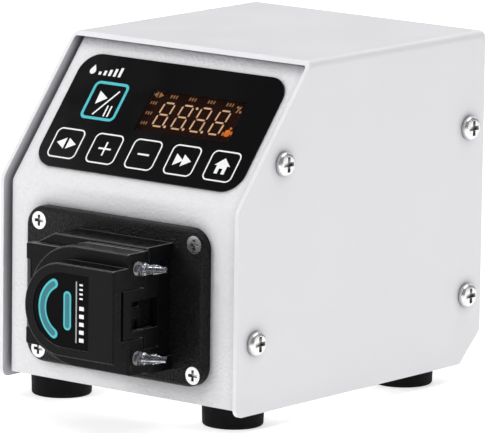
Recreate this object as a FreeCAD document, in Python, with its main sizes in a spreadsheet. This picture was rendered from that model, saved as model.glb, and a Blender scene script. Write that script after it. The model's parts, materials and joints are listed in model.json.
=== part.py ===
import FreeCAD
import Part
import math
import os
import re
import Sketcher

# Bench-top peristaltic pump, in millimetres.
# Frame: X to the right seen from the front, Y towards the rear, Z up. The origin is on the surface that
# the feet stand on, under the middle of the pump's overall length and half way between the chassis's sides.
# The case is a folded chassis under a folded cover. A stepper motor behind the front panel turns a
# three-roller rotor, and a removable cartridge holds the tube against the rollers.

SIZES = {
    # case: outline of the cover's side, and the sheet it is folded from
    "case_width": 100.0,
    "left_gap": 1.3,
    "case_front": -51.8,
    "case_rear": 78.8,
    "case_bottom": 5.8,
    "case_top": 118.3,
    "knee_z": 73.3,
    "slant_run": 37.0,
    "bevel_run": 11.1,
    "bevel_rise": 10.4,
    "wall": 1.5,
    "bend": 2.5,
    "corner_round": 3.0,
    "knee_round": 6.0,
    "panel_knee_round": 3.5,
    "panel_round": 1.2,
    "cover_play": 0.2,
    # chassis: how far it sits inside the cover's outline
    "panel_recess": 2.0,
    "rear_recess": 1.5,
    "bevel_play_y": 0.8,
    "bevel_play_z": 1.4,
    "flange": 16.0,
    "lip": 12.0,
    # feet
    "foot_x": 36.7,
    "foot_front_y": -36.9,
    "foot_rear_y": 53.7,
    "foot_height": 7.8,
    "foot_radius": 10.3,
    "foot_taper": 0.3,
    "foot_round": 0.9,
    "foot_seat": 4.3,
    # screws: pan heads M4, M3 and M2.5, countersunk M3
    "m4_radius": 2.0,
    "m4_head_radius": 4.05,
    "m4_head_height": 2.4,
    "m4_length": 8.0,
    "m3_radius": 1.5,
    "m3_head_radius": 2.75,
    "m3_head_height": 1.9,
    "m3_length": 6.0,
    "m25_radius": 1.25,
    "m25_head_radius": 2.2,
    "m25_head_height": 1.5,
    "m25_length": 12.5,
    "flat_head_radius": 2.95,
    "flat_head_height": 1.7,
    "flat_length": 9.6,
    "hole_play": 0.2,
    "side_upper_z": 86.4,
    "side_lower_z": 29.3,
    "side_rear_y": 70.3,
    "side_upper_front_y": -29.1,
    "side_lower_front_y": -42.6,
    # control panel, measured on the sloping face from its lower corner
    "overlay_width": 86.7,
    "overlay_mid": 0.6,
    "overlay_low": 7.4,
    "overlay_high": 51.3,
    "overlay_thick": 0.6,
    "overlay_round": 7.5,
    "key_mid": 0.5,
    "key_pitch": 16.55,
    "key_up": 16.4,
    "key_width": 12.2,
    "key_height": 11.6,
    "key_thick": 2.2,
    "key_round": 2.3,
    "key_play": 0.05,
    "start_x": -25.55,
    "start_up": 33.9,
    "start_width": 14.9,
    "start_height": 14.8,
    "display_x": 11.65,
    "display_up": 32.9,
    "display_width": 39.5,
    "display_height": 15.5,
    "window_thick": 1.2,
    "board_depth": 10.0,
    "board_thick": 1.6,
    "board_half_width": 41.0,
    "board_low": 5.2,
    "board_high": 51.6,
    "post_x": 38.5,
    "post_low": 8.0,
    "post_high": 49.0,
    "post_radius": 2.6,
    # pump head: rotor axis and the depths of its layers along Y
    "axis_x": 2.0,
    "axis_z": 39.9,
    "head_right": 24.6,
    "head_front": -83.2,
    "body_front": -75.9,
    "back_front": -68.3,
    "base_front": -66.2,
    "plate_front": -53.8,
    "plate_left": -38.3,
    "plate_right": 37.3,
    "plate_half_height": 26.0,
    "plate_z": 39.9,
    "plate_corner": 7.0,
    "plate_edge": 1.4,
    "plate_bore": 11.6,
    "plate_screw_mid_x": 0.35,
    "plate_screw_x": 33.0,
    "plate_screw_z": 21.5,
    "plate_screw_mid": 39.55,
    "base_half_height": 20.75,
    "base_left": -23.5,
    "base_shoulder_x": -15.3,
    "base_shoulder_drop": 4.15,
    "base_recess_radius": 16.0,
    "base_recess_depth": 1.6,
    "base_bore": 3.4,
    "base_side_drop": 16.2,
    "base_screw_left": -19.5,
    "base_screw_left_up": 9.5,
    "base_screw_right": 21.6,
    "base_screw_right_up": 17.2,
    "base_screw_seat": 3.0,
    "cartridge_screw_x": 20.0,
    "cartridge_screw_up": 10.4,
    "cover_radius": 15.3,
    "body_radius": 19.85,
    "cover_cavity": 13.8,
    "track_radius": 17.0,
    "track_right": 17.6,
    "outline_round": 0.7,
    "label_depth": 0.5,
    "label_thick": 0.3,
    "label_radius": 12.25,
    "label_mid": 2.8,
    "label_right": 14.0,
    "tab_left": -25.5,
    "tab_half_height": 16.9,
    "tab_hole": 15.6,
    "pin_notch": 11.4,
    # tube and its connectors
    "tube_y": -71.2,
    "tube_offset": 14.65,
    "tube_radius": 2.35,
    "tube_bore": 1.35,
    "tube_pressed": 15.1,
    "tube_strip_end": 10.9,
    "connector_turn": 28.0,
    # release lever
    "lever_inner": 22.6,
    "lever_outer": 24.7,
    "lever_front": -78.4,
    "lever_mid": -68.3,
    "lever_rear": -60.8,
    "lever_half": 8.0,
    "lever_ear": 12.0,
    "lever_play": 0.35,
    "lever_gap": 1.1,
    "lever_pocket": 21.2,
    "lever_pin_x": 23.6,
    "lever_pin_y": -68.8,
    "lever_pin_radius": 0.6,
    "lever_pin_in": 6.2,
    "lever_pin_out": 10.5,
    "window_front": -74.4,
    "window_rear": -61.5,
    "window_low": -5.6,
    "window_high": 4.2,
    "spring_y": -77.4,
    "spring_radius": 0.95,
    "spring_wire": 0.2,
    "spring_seat": 19.0,
    # rotor
    "shaft_radius": 2.5,
    "shaft_front": -80.7,
    "shaft_rear": -9.6,
    "roller_circle": 11.0,
    "roller_radius": 4.05,
    "roller_front": -74.75,
    "roller_rear": -67.65,
    "pin_radius": 1.5,
    "running_play": 0.05,
    "cage_front": -76.4,
    "cage_rear": -65.2,
    "cage_web": 1.5,
    "cage_back_web": 2.25,
    "cage_front_radius": 13.3,
    "cage_rear_radius": 14.0,
    "hub_radius": 5.5,
    "bush_radius": 4.5,
    "bush_rear": -78.3,
    # stepper motor
    "motor_half": 21.15,
    "motor_corner": 4.5,
    "motor_front": -48.3,
    "motor_bell_rear": -40.3,
    "motor_stack_rear": -14.3,
    "motor_rear": -6.3,
    "motor_hole": 15.5,
    "pilot_radius": 11.0,
    "stator_bore": 13.0,
    "air_gap": 0.25,
    "bearing_radius": 8.0,
    "bearing_width": 5.0,
    "bearing_play": 0.02,
    "bolt_length": 36.0,
    # driver board on the floor behind the motor
    "driver_half_width": 33.0,
    "driver_front": 10.2,
    "driver_rear": 60.2,
    "driver_up": 6.0,
    "driver_inset": 4.0,
    "sink_left": -8.0,
    "sink_right": 20.0,
    "sink_front": 22.0,
    "sink_rear": 46.0,
    "sink_base": 3.0,
    "sink_height": 16.0,
    "fin_pitch": 3.8,
    "fin_thick": 1.4,
    "can_radius": 5.0,
    "can_height": 18.0,
    "can_x": -20.0,
    "can_front_y": 26.0,
    "can_rear_y": 40.0,
    # rear panel fittings, all at one height
    "fitting_z": 42.0,
    "switch_x": -28.0,
    "switch_front": 58.0,
    "switch_half_width": 6.5,
    "switch_half_height": 9.6,
    "switch_bezel": 2.0,
    "rocker_half_width": 5.4,
    "rocker_half_height": 7.6,
    "socket_x": 0.0,
    "socket_front": 62.0,
    "socket_radius": 4.0,
    "socket_rim": 2.2,
    "port_x": 26.0,
    "port_front": 66.0,
    "port_half_width": 9.0,
    "port_half_height": 4.7,
    "port_flange": 15.4,
    "port_pin_pitch": 2.76,
    "port_pin_row": 1.4,
    "port_rear": 83.2,
    "rocker_tilt": 9.0,
    "rocker_pivot_y": 74.0,
    "rocker_pin_radius": 0.8,
    "vent_z": 72.0,
    "vent_height": 24.0,
    "vent_width": 5.0,
    "vent_pitch": 9.0,
    "floor_vent_half": 14.0,
    "floor_vent_y": 24.0,
}

TINY = 0.001
SLANT_RISE = "(case_top - knee_z)"
SLANT_LENGTH = "sqrt(slant_run^2 + (case_top - knee_z)^2)"
CHASSIS_HALF = "(case_width / 2 - wall - cover_play)"
FLOOR_TOP = "(case_bottom + panel_recess + wall)"
PANEL_FRONT = "(case_front + panel_recess)"
REAR_FACE = "(case_rear - rear_recess)"
X_AXIS = FreeCAD.Vector(1, 0, 0)
Y_AXIS = FreeCAD.Vector(0, 1, 0)
Z_AXIS = FreeCAD.Vector(0, 0, 1)
TURN = {
    "x": FreeCAD.Rotation(Z_AXIS, X_AXIS),
    "y": FreeCAD.Rotation(Z_AXIS, Y_AXIS),
    "z": FreeCAD.Rotation(),
}
ORIGIN_PLANE = {"x": "YZ_Plane", "y": "XZ_Plane", "z": "XY_Plane"}

doc = FreeCAD.newDocument("peristaltic_pump")
nodes = []


def make_sheet():
    """The spreadsheet of driving dimensions, one alias for each."""
    made = doc.addObject("Spreadsheet::Sheet", "sizes")
    for row, (name, value) in enumerate(SIZES.items(), start=1):
        made.set(f"A{row}", name)
        made.set(f"B{row}", str(value))
        made.setAlias(f"B{row}", name)
    doc.recompute()
    return made


sheet = make_sheet()


def size(name):
    """A dimension's value, read from the sheet."""
    return float(sheet.get(name))


def link(match):
    """One word of a formula, pointed at the sheet if it is a dimension there."""
    word = match.group()
    return f"sizes.{word}" if word in SIZES else word


def formula(text):
    """A FreeCAD expression for text, in which dimensions go by their names alone."""
    return re.sub(r"[a-z][a-z0-9_]*", link, text)


def bind_place(item, where, prefix=".Placement"):
    """Binds the item's position to three formulas."""
    for axis, text in zip("xyz", where):
        item.setExpression(f"{prefix}.Base.{axis}", formula(text))


def around(middle, half):
    """The low and high formulas of a span about its middle."""
    return (f"{middle} - ({half})", f"{middle} + ({half})")


def straight(edge, axis):
    """True for a straight edge along axis."""
    if edge.Curve.TypeId != "Part::GeomLine":
        return False
    box = edge.BoundBox
    lengths = {"x": box.XLength, "y": box.YLength, "z": box.ZLength}
    return all(lengths[other] < TINY for other in lengths if other != axis)


def reach(edge, axis):
    """The edge's lowest and highest coordinate along axis."""
    box = edge.BoundBox
    spans = {"x": (box.XMin, box.XMax), "y": (box.YMin, box.YMax), "z": (box.ZMin, box.ZMax)}
    return spans[axis]


def lies_at(edge, axis, value):
    """True for an edge that lies in the plane where axis has that value."""
    low, high = reach(edge, axis)
    return abs(low - value) < TINY and abs(high - value) < TINY


class Piece:
    """A PartDesign body built up from features whose sizes are bound to the sheet."""

    def __init__(self, label, kept=True):
        self.label = label
        self.body = doc.addObject("PartDesign::Body", label)
        self.body.Label = label
        if kept:
            nodes.append(self.body)

    def feature(self, kind, cut=None):
        """A new feature. cut picks the additive or the subtractive form of a primitive."""
        form = {None: "", False: "Additive", True: "Subtractive"}[cut]
        return self.body.newObject(f"PartDesign::{form}{kind}", f"{self.label}_{kind.lower()}")

    def put(self, item, where, plane):
        """Places a primitive in the body's frame, or on one of the body's own datum planes."""
        if plane is None:
            bind_place(item, where)
            return
        item.AttachmentSupport = [(plane, "")]
        item.MapMode = "FlatFace"
        bind_place(item, where, ".AttachmentOffset")

    def block(self, x, y, z, cut=False, plane=None):
        """A box from three pairs of low and high formulas."""
        box = self.feature("Box", cut)
        for side, (low, high) in zip(("Length", "Width", "Height"), (x, y, z)):
            box.setExpression(side, formula(f"({high}) - ({low})"))
        self.put(box, (x[0], y[0], z[0]), plane)
        return self

    def rod(self, axis, centre, span, radius, cut=False, end_radius=None):
        """A cylinder along axis, or a cone if end_radius is given. centre has the other two places."""
        rod = self.feature("Cone" if end_radius else "Cylinder", cut)
        rod.Placement.Rotation = TURN[axis]
        rod.setExpression("Radius1" if end_radius else "Radius", formula(radius))
        if end_radius:
            rod.setExpression("Radius2", formula(end_radius))
        rod.setExpression("Height", formula(f"({span[1]}) - ({span[0]})"))
        corner = list(centre)
        corner.insert("xyz".index(axis), span[0])
        bind_place(rod, corner)
        return self

    def sketch(self, axis, points):
        """A closed polygon through pairs of formulas, on the body's origin plane across axis."""
        made = self.body.newObject("Sketcher::SketchObject", f"{self.label}_sketch")
        role = ORIGIN_PLANE[axis]
        plane = next(item for item in self.body.Origin.OriginFeatures if item.Role == role)
        made.AttachmentSupport = [(plane, "")]
        made.MapMode = "FlatFace"
        count = len(points)
        for corner in range(count):
            start = FreeCAD.Vector(corner, corner * corner, 0)
            end = FreeCAD.Vector(corner + 1, (corner + 1) ** 2, 0)
            made.addGeometry(Part.LineSegment(start, end), False)
        for corner in range(count):
            joint = Sketcher.Constraint("Coincident", corner, 2, (corner + 1) % count, 1)
            made.addConstraint(joint)
        for corner, (across, up) in enumerate(points):
            for kind, text in (("DistanceX", across), ("DistanceY", up)):
                index = made.addConstraint(Sketcher.Constraint(kind, -1, 1, corner, 1, 1.0))
                made.setExpression(f"Constraints[{index}]", formula(text))
        return made

    def prism(self, axis, points, span, cut=False):
        """A polygon pushed along axis from the low to the high formula of span."""
        profile = self.sketch(axis, points)
        start = f"-({span[1]})" if axis == "y" else span[0]
        profile.setExpression(".AttachmentOffset.Base.z", formula(start))
        solid = self.feature("Pocket" if cut else "Pad")
        solid.Profile = profile
        solid.setExpression("Length", formula(f"({span[1]}) - ({span[0]})"))
        solid.Reversed = cut
        return self

    def d_shape(self, span, radius, right, cut=False, middle="axis_x"):
        """A half-round with straight runs to the right: the outline of the pump head's layers."""
        half = self.feature("Cylinder", cut)
        half.Angle = 180
        half.Placement.Rotation = TURN["y"] * FreeCAD.Rotation(Z_AXIS, 90)
        half.setExpression("Radius", formula(radius))
        half.setExpression("Height", formula(f"({span[1]}) - ({span[0]})"))
        bind_place(half, (middle, span[0], "axis_z"))
        return self.block((middle, right), span, around("axis_z", radius), cut)

    def round(self, radius, chosen, kind="Fillet"):
        """Rounds or chamfers the edges that chosen picks."""
        doc.recompute()
        base = self.body.Tip
        edges = [f"Edge{i}" for i, edge in enumerate(base.Shape.Edges, 1) if chosen(edge)]
        if not edges:
            raise RuntimeError(f"{self.label}: no edge to round")
        softened = self.feature(kind)
        softened.Base = (base, edges)
        softened.setExpression("Radius" if kind == "Fillet" else "Size", formula(radius))
        doc.recompute()
        return self


def slant_place():
    """The frame of the sloping face: X across, Y up the slope, Z outwards, from the knee's corner."""
    rise = size("case_top") - size("knee_z")
    angle = math.degrees(math.atan2(rise, size("slant_run")))
    knee = FreeCAD.Vector(0, size("case_front"), size("knee_z"))
    return FreeCAD.Placement(knee, FreeCAD.Rotation(X_AXIS, angle))


def group(label, pattern, places):
    """Copies of a pattern piece, as the separate solids of one sub-part."""
    doc.recompute()
    made = doc.addObject("Part::Feature", label)
    copies = []
    for place in places:
        copy = pattern.body.Shape.copy()
        copy.Placement = place
        copies.append(copy)
    made.Shape = Part.makeCompound(copies)
    nodes.append(made)
    return made


def facing(direction, x, y, z):
    """A placement whose Z axis points along direction."""
    return FreeCAD.Placement(FreeCAD.Vector(x, y, z), FreeCAD.Rotation(Z_AXIS, direction))


# Screw patterns: the head's underside is at z = 0 and the shank points down.


def cross_recess(piece, head_radius, top, depth):
    """The cross-shaped driver recess in a screw head."""
    narrow, wide = f"{head_radius} * 0.17", f"{head_radius} * 0.62"
    for across, along in ((narrow, wide), (wide, narrow)):
        piece.block(around("0", across), around("0", along), (f"{top} - {depth}", f"{top} + 1"), cut=True)


def pan_screw(label, name, length):
    """A pan-head machine screw with a cross recess."""
    radius, head, height = f"{name}_radius", f"{name}_head_radius", f"{name}_head_height"
    piece = Piece(label, kept=False)
    piece.rod("z", ("0", "0"), ("0", height), head)
    top = size(height)
    piece.round(f"{height} * 0.62", lambda edge: lies_at(edge, "z", top))
    piece.rod("z", ("0", "0"), (f"-{length}", "0"), radius)
    cross_recess(piece, head, height, f"{height} * 0.6")
    return piece


def flat_screw(label):
    """A countersunk machine screw with its head's face at z = 0."""
    piece = Piece(label, kept=False)
    piece.rod("z", ("0", "0"), ("-flat_head_height", "0"), "m3_radius", end_radius="flat_head_radius")
    piece.rod("z", ("0", "0"), ("-flat_length", "-flat_head_height"), "m3_radius")
    cross_recess(piece, "flat_head_radius", "0", "flat_head_height * 0.7")
    return piece


M4_SCREW = pan_screw("pattern_m4", "m4", "m4_length")
M3_SCREW = pan_screw("pattern_m3", "m3", "m3_length")
M25_SCREW = pan_screw("pattern_m25", "m25", "m25_length")
MOTOR_BOLT = pan_screw("pattern_bolt", "m3", "bolt_length")
FLAT_SCREW = flat_screw("pattern_flat")


# Case


SIDE_SCREWS = (
    ("side_upper_front_y", "side_upper_z"),
    ("side_rear_y", "side_upper_z"),
    ("side_rear_y", "side_lower_z"),
    ("side_lower_front_y", "side_lower_z"),
)


def build_cover():
    """Top and two sides folded from one sheet, open at the front, rear and bottom."""
    outline = (
        ("case_front", "case_bottom"),
        ("case_front", "knee_z"),
        ("case_front + slant_run", "case_top"),
        ("case_rear", "case_top"),
        ("case_rear", "case_bottom + bevel_rise"),
        ("case_rear - bevel_run", "case_bottom"),
    )
    piece = Piece("cover")
    piece.prism("x", outline, ("-(case_width / 2) - left_gap", "case_width / 2"))
    top, front, low, knee = size("case_top"), size("case_front"), size("case_bottom"), size("knee_z")
    piece.round("bend", lambda edge: straight(edge, "y") and lies_at(edge, "z", top))
    piece.round("corner_round", lambda edge: lies_at(edge, "y", front) and lies_at(edge, "z", low))
    piece.round("knee_round", lambda edge: lies_at(edge, "y", front) and lies_at(edge, "z", knee))
    inside = ("wall - left_gap - case_width / 2", "case_width / 2 - wall")
    piece.block(inside, ("case_front - 1", "case_rear + 1"), ("case_bottom - 1", "case_top - wall"), cut=True)
    inner_top = size("case_top") - size("wall")
    inner_side = size("case_width") / 2 - size("wall") - TINY
    piece.round("bend - wall", lambda edge: straight(edge, "y") and lies_at(edge, "z", inner_top)
                and abs(reach(edge, "x")[0]) > inner_side)
    for y, z in SIDE_SCREWS:
        piece.rod("x", (y, z), around("0", "case_width"), "m4_radius + hole_play", cut=True)


def chassis_outline(depth):
    """The chassis's side outline, moved inwards by depth."""
    inset = f"(panel_recess + {depth})"
    low = f"case_bottom + {inset}"
    high = f"(case_top - wall - cover_play - {depth})"
    rear = f"{REAR_FACE} - {depth}"
    knee = f"knee_z - {inset} * ({SLANT_LENGTH} - {SLANT_RISE}) / slant_run"
    slope_top = f"case_front + ({inset} * {SLANT_LENGTH} + slant_run * ({high} - knee_z)) / {SLANT_RISE}"
    return (
        (f"case_front + {inset}", low),
        (f"case_front + {inset}", knee),
        (slope_top, high),
        (rear, high),
        (rear, f"case_bottom + bevel_rise + bevel_play_z + {depth} * 0.43"),
        (f"case_rear - bevel_run - bevel_play_y - {depth} * 0.4", low),
    )


def cut_panel_face(piece):
    """The holes of the vertical front panel: motor, motor screws and plate screws."""
    through = (f"{PANEL_FRONT} - 1", f"{PANEL_FRONT} + wall + 1")
    piece.rod("y", ("axis_x", "axis_z"), through, "pilot_radius + hole_play", cut=True)
    for side in ("-", "+"):
        for up in ("-", "+"):
            hole = (f"axis_x {side} motor_hole", f"axis_z {up} motor_hole")
            piece.rod("y", hole, through, "m3_radius + hole_play", cut=True)
            hole = (f"plate_screw_mid_x {side} plate_screw_x", f"plate_screw_mid {up} plate_screw_z")
            piece.rod("y", hole, through, "m3_radius", cut=True)


def cut_control_face(piece):
    """The cut-outs of the sloping face behind the display and the keys."""
    face = piece.body.newObject("PartDesign::Plane", "control_face")
    face.Placement = slant_place()
    through = ("-panel_recess - wall - 1", "-panel_recess + 1")
    piece.block(
        around("display_x", "(display_width / 2 + 0.5)"),
        around("display_up", "(display_height / 2 + 0.5)"),
        through, cut=True, plane=face,
    )
    for x, up, wide, tall in KEYS.values():
        piece.block(around(x, f"({wide} / 2 + hole_play)"), around(up, f"({tall} / 2 + hole_play)"),
                    through, cut=True, plane=face)


def cut_rear_face(piece):
    """The cut-outs of the rear panel: switch, socket, port and vents."""
    through = (f"{REAR_FACE} - wall - 1", f"{REAR_FACE} + 1")
    piece.block(around("switch_x", "switch_half_width + 0.1"), through,
                around("fitting_z", "switch_half_height + 0.1"), cut=True)
    piece.rod("y", ("socket_x", "fitting_z"), through, "socket_radius", cut=True)
    piece.block(around("port_x", "port_half_width"), through,
                around("fitting_z", "port_half_height"), cut=True)
    for column in range(-3, 4):
        piece.block(around(f"{column} * vent_pitch", "vent_width / 2"), through,
                    ("vent_z", "vent_z + vent_height"), cut=True)


def build_chassis():
    """Floor, front panel, sloping face and rear panel folded from one sheet, with side flanges."""
    piece = Piece("chassis")
    piece.prism("x", chassis_outline("0"), around("0", CHASSIS_HALF))
    front, knee = size("case_front") + size("panel_recess"), size("knee_z")
    piece.round("panel_knee_round", lambda edge: straight(edge, "x") and lies_at(edge, "y", front)
                and abs(reach(edge, "z")[0] - knee) < size("panel_recess"))
    side = size("case_width") / 2 - size("wall") - size("cover_play")
    piece.round("panel_round", lambda edge: lies_at(edge, "x", side) or lies_at(edge, "x", -side))
    piece.prism("x", chassis_outline("wall"), around("0", f"({CHASSIS_HALF} - wall)"), cut=True)
    piece.prism("x", chassis_outline("flange"), around("0", f"({CHASSIS_HALF} + 1)"), cut=True)
    high = "case_top - wall - cover_play"
    piece.block(
        around("0", f"({CHASSIS_HALF} + 1)"),
        ("case_front + slant_run + lip", f"{REAR_FACE} - lip"),
        (f"{high} - flange - 1", f"{high} + 1"), cut=True,
    )
    cut_panel_face(piece)
    cut_control_face(piece)
    cut_rear_face(piece)
    floor = (f"{FLOOR_TOP} - wall - 1", f"{FLOOR_TOP} + 1")
    for side in ("-", "+"):
        for y in ("foot_front_y", "foot_rear_y"):
            piece.rod("z", (f"0 {side} foot_x", y), floor, "m4_radius", cut=True)
    for row in range(-1, 2):
        slot = around(f"{row} * vent_pitch + floor_vent_y", "vent_width / 2")
        piece.block(around("0", "floor_vent_half"), slot, floor, cut=True)
    for y, z in SIDE_SCREWS:
        piece.rod("x", (y, z), around("0", "case_width"), "m4_radius", cut=True)


def build_feet():
    """Four rubber feet, each with a recess for its screw."""
    for name, side, y in (
        ("foot_front_left", "-", "foot_front_y"),
        ("foot_front_right", "+", "foot_front_y"),
        ("foot_rear_left", "-", "foot_rear_y"),
        ("foot_rear_right", "+", "foot_rear_y"),
    ):
        centre = (f"0 {side} foot_x", y)
        piece = Piece(name)
        piece.rod("z", centre, ("0", "foot_height"), "foot_radius - foot_taper", end_radius="foot_radius")
        piece.round("foot_round", lambda edge: lies_at(edge, "z", 0.0))
        piece.rod("z", centre, ("-1", "foot_seat"), "m4_head_radius + 0.4", cut=True)
        piece.rod("z", centre, ("0", "foot_height + 1"), "m4_radius", cut=True)


def build_case_screws():
    """The screws through the feet and through the cover's sides."""
    x, seat = size("foot_x"), size("foot_seat")
    places = [
        facing(-Z_AXIS, side * x, size(y), seat)
        for side in (-1, 1)
        for y in ("foot_front_y", "foot_rear_y")
    ]
    group("foot_screws", M4_SCREW, places)
    half = size("case_width") / 2
    places = [
        facing(X_AXIS * side, seat, size(y), size(z))
        for side, seat in ((-1, -half - size("left_gap")), (1, half))
        for y, z in SIDE_SCREWS
    ]
    group("cover_screws", M4_SCREW, places)


# Control panel, built flat in the frame of the sloping face


KEYS = {
    "key_start": ("start_x", "start_up", "start_width", "start_height"),
    "key_direction": ("key_mid - 2 * key_pitch", "key_up", "key_width", "key_height"),
    "key_plus": ("key_mid - key_pitch", "key_up", "key_width", "key_height"),
    "key_minus": ("key_mid", "key_up", "key_width", "key_height"),
    "key_fast": ("key_mid + key_pitch", "key_up", "key_width", "key_height"),
    "key_home": ("key_mid + 2 * key_pitch", "key_up", "key_width", "key_height"),
}
OVERLAY_TOP = "(overlay_thick - panel_recess)"
BOARD_TOP = "(-board_depth)"


def is_key_corner(edge):
    """True for the corner edge of a key's opening in the control panel."""
    if not straight(edge, "z"):
        return False
    x, up = reach(edge, "x")[0], reach(edge, "y")[0]
    return any(
        abs(abs(x - key_x) - size("key_width") / 2 - size("key_play")) < TINY
        or abs(abs(x - key_x) - size("start_width") / 2 - size("key_play")) < TINY
        for key_x, key_up in key_centres()
        if abs(up - key_up) < size("start_height")
    )


def build_overlay():
    """The black panel with openings for the window and the keys."""
    piece = Piece("keypad_overlay")
    span = ("-panel_recess", OVERLAY_TOP)
    piece.block(around("overlay_mid", "overlay_width / 2"), ("overlay_low", "overlay_high"), span)
    piece.round("overlay_round", lambda edge: straight(edge, "z"))
    through = ("-panel_recess - 1", f"{OVERLAY_TOP} + 1")
    piece.block(around("display_x", "display_width / 2"), around("display_up", "display_height / 2"),
                through, cut=True)
    for x, up, wide, tall in KEYS.values():
        piece.block(around(x, f"({wide} / 2 + key_play)"), around(up, f"({tall} / 2 + key_play)"),
                    through, cut=True)
    piece.round("key_round", is_key_corner)
    piece.body.Placement = slant_place()


def build_display():
    """The tinted window and the lit module under it."""
    window = Piece("display_window")
    window.block(
        around("display_x", "(display_width / 2 - key_play)"),
        around("display_up", "(display_height / 2 - key_play)"),
        (f"{OVERLAY_TOP} - window_thick", OVERLAY_TOP),
    )
    window.round("key_round", lambda edge: straight(edge, "z"))
    module = Piece("display_module")
    module.block(
        around("display_x", "(display_width / 2 - 0.8)"),
        around("display_up", "(display_height / 2 - 0.8)"),
        (BOARD_TOP, f"{OVERLAY_TOP} - window_thick - 0.3"),
    )
    for piece in (window, module):
        piece.body.Placement = slant_place()


def build_keys():
    """Six keys that move straight into the panel."""
    for name, (x, up, wide, tall) in KEYS.items():
        piece = Piece(name)
        piece.block(around(x, f"{wide} / 2"), around(up, f"{tall} / 2"),
                    (f"{OVERLAY_TOP} - key_thick", OVERLAY_TOP))
        piece.round("key_round", lambda edge: straight(edge, "z"))
        piece.body.Placement = slant_place()


def build_control_board():
    """The board under the sloping face, with one small switch under each key."""
    board = Piece("control_board")
    board.block(around("0", "board_half_width"), ("board_low", "board_high"),
                (f"{BOARD_TOP} - board_thick", BOARD_TOP))
    for side in ("-", "+"):
        for up in ("post_low", "post_high"):
            board.rod("z", (f"0 {side} post_x", up), (f"{BOARD_TOP} - board_thick - 1", "0"),
                      "m3_radius + hole_play", cut=True)
    board.body.Placement = slant_place()
    switch = Piece("pattern_switch", kept=False)
    switch.block(around("0", "3"), around("0", "3"), ("0", "3.5"))
    switch.rod("z", ("0", "0"), ("3.5", "5.6"), "1.75")
    doc.recompute()
    slope = slant_place()
    places = []
    for x, up in key_centres():
        places.append(slope * FreeCAD.Placement(FreeCAD.Vector(x, up, -size("board_depth")), TURN["z"]))
    group("key_switches", switch, places)


def key_centres():
    """The centre of each key on the sloping face."""
    middle, pitch, row = size("key_mid"), size("key_pitch"), size("key_up")
    return [(size("start_x"), size("start_up"))] + [(middle + pitch * column, row) for column in range(-2, 3)]


def floor_top():
    """The height of the case floor's upper side."""
    return size("case_bottom") + size("panel_recess") + size("wall")


def board_posts():
    """The foot of each board pillar, for the control board and for the driver board."""
    slope = slant_place()
    back = -size("board_depth")
    sloping = [
        slope * FreeCAD.Placement(FreeCAD.Vector(side * size("post_x"), size(up), back), TURN["z"])
        for side in (-1, 1)
        for up in ("post_low", "post_high")
    ]
    inset = size("driver_inset")
    across = size("driver_half_width") - inset
    flat = [
        FreeCAD.Placement(FreeCAD.Vector(side * across, y, floor_top()), TURN["z"])
        for side in (-1, 1)
        for y in (size("driver_front") + inset, size("driver_rear") - inset)
    ]
    return sloping, flat


def build_posts():
    """Pillars that carry the two boards, and the screws that hold the boards to them."""
    sloping, flat = board_posts()
    tall = Piece("pattern_post", kept=False)
    tall.rod("z", ("0", "0"), ("0", "board_depth - panel_recess - wall"), "post_radius")
    tall.rod("z", ("0", "0"), ("-1", "5.5"), "m3_radius", cut=True)
    short = Piece("pattern_short_post", kept=False)
    short.rod("z", ("0", "0"), ("0", "driver_up"), "post_radius")
    short.rod("z", ("0", "0"), ("0.5", "driver_up + 1"), "m3_radius", cut=True)
    doc.recompute()
    upper = group("board_posts", tall, sloping)
    lower = [short.body.Shape.copy() for _ in flat]
    for shape, place in zip(lower, flat):
        shape.Placement = place
    upper.Shape = Part.makeCompound(upper.Shape.Solids + lower)
    below = FreeCAD.Placement(FreeCAD.Vector(0, 0, -size("board_thick")), FreeCAD.Rotation(X_AXIS, 180))
    above = FreeCAD.Vector(0, 0, size("driver_up") + size("board_thick"))
    places = [place * below for place in sloping]
    places += [FreeCAD.Placement(place.Base + above, TURN["z"]) for place in flat]
    group("board_screws", M3_SCREW, places)


# Pump head


def plate_screw_places():
    """The four countersunk screws at the corners of the mounting plate."""
    x, z, mid = size("plate_screw_x"), size("plate_screw_z"), size("plate_screw_mid")
    return [
        facing(-Y_AXIS, size("plate_screw_mid_x") + side * x, size("plate_front"), mid + up * z)
        for side in (-1, 1)
        for up in (-1, 1)
    ]


def motor_screw_places():
    """The four countersunk screws that hold the motor to the mounting plate."""
    hole = size("motor_hole")
    return [
        facing(-Y_AXIS, size("axis_x") + side * hole, size("plate_front"), size("axis_z") + up * hole)
        for side in (-1, 1)
        for up in (-1, 1)
    ]


def build_mount_plate():
    """The thick plate that carries the pump head on the front panel."""
    piece = Piece("mount_plate")
    piece.block(("plate_left", "plate_right"), ("plate_front", PANEL_FRONT),
                around("plate_z", "plate_half_height"))
    piece.round("plate_corner", lambda edge: straight(edge, "y"))
    front = size("plate_front")
    piece.round("plate_edge", lambda edge: lies_at(edge, "y", front))
    through = ("plate_front - 1", f"{PANEL_FRONT} + 1")
    piece.rod("y", ("axis_x", "axis_z"), through, "plate_bore", cut=True)
    for side in ("-", "+"):
        for up in ("-", "+"):
            for centre in (
                (f"plate_screw_mid_x {side} plate_screw_x", f"plate_screw_mid {up} plate_screw_z"),
                (f"axis_x {side} motor_hole", f"axis_z {up} motor_hole"),
            ):
                piece.rod("y", centre, through, "m3_radius", cut=True)
                piece.rod("y", centre, ("plate_front", "plate_front + flat_head_height"),
                          "flat_head_radius", cut=True, end_radius="m3_radius")
    for centre in BASE_SCREWS:
        piece.rod("y", centre, through, "m25_radius", cut=True)
    group("plate_screws", FLAT_SCREW, plate_screw_places())
    group("motor_screws", FLAT_SCREW, motor_screw_places())


BASE_SCREWS = tuple(
    (f"base_screw_{side}", f"axis_z {up} base_screw_{side}_up") for side in ("left", "right") for up in "-+"
)


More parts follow.
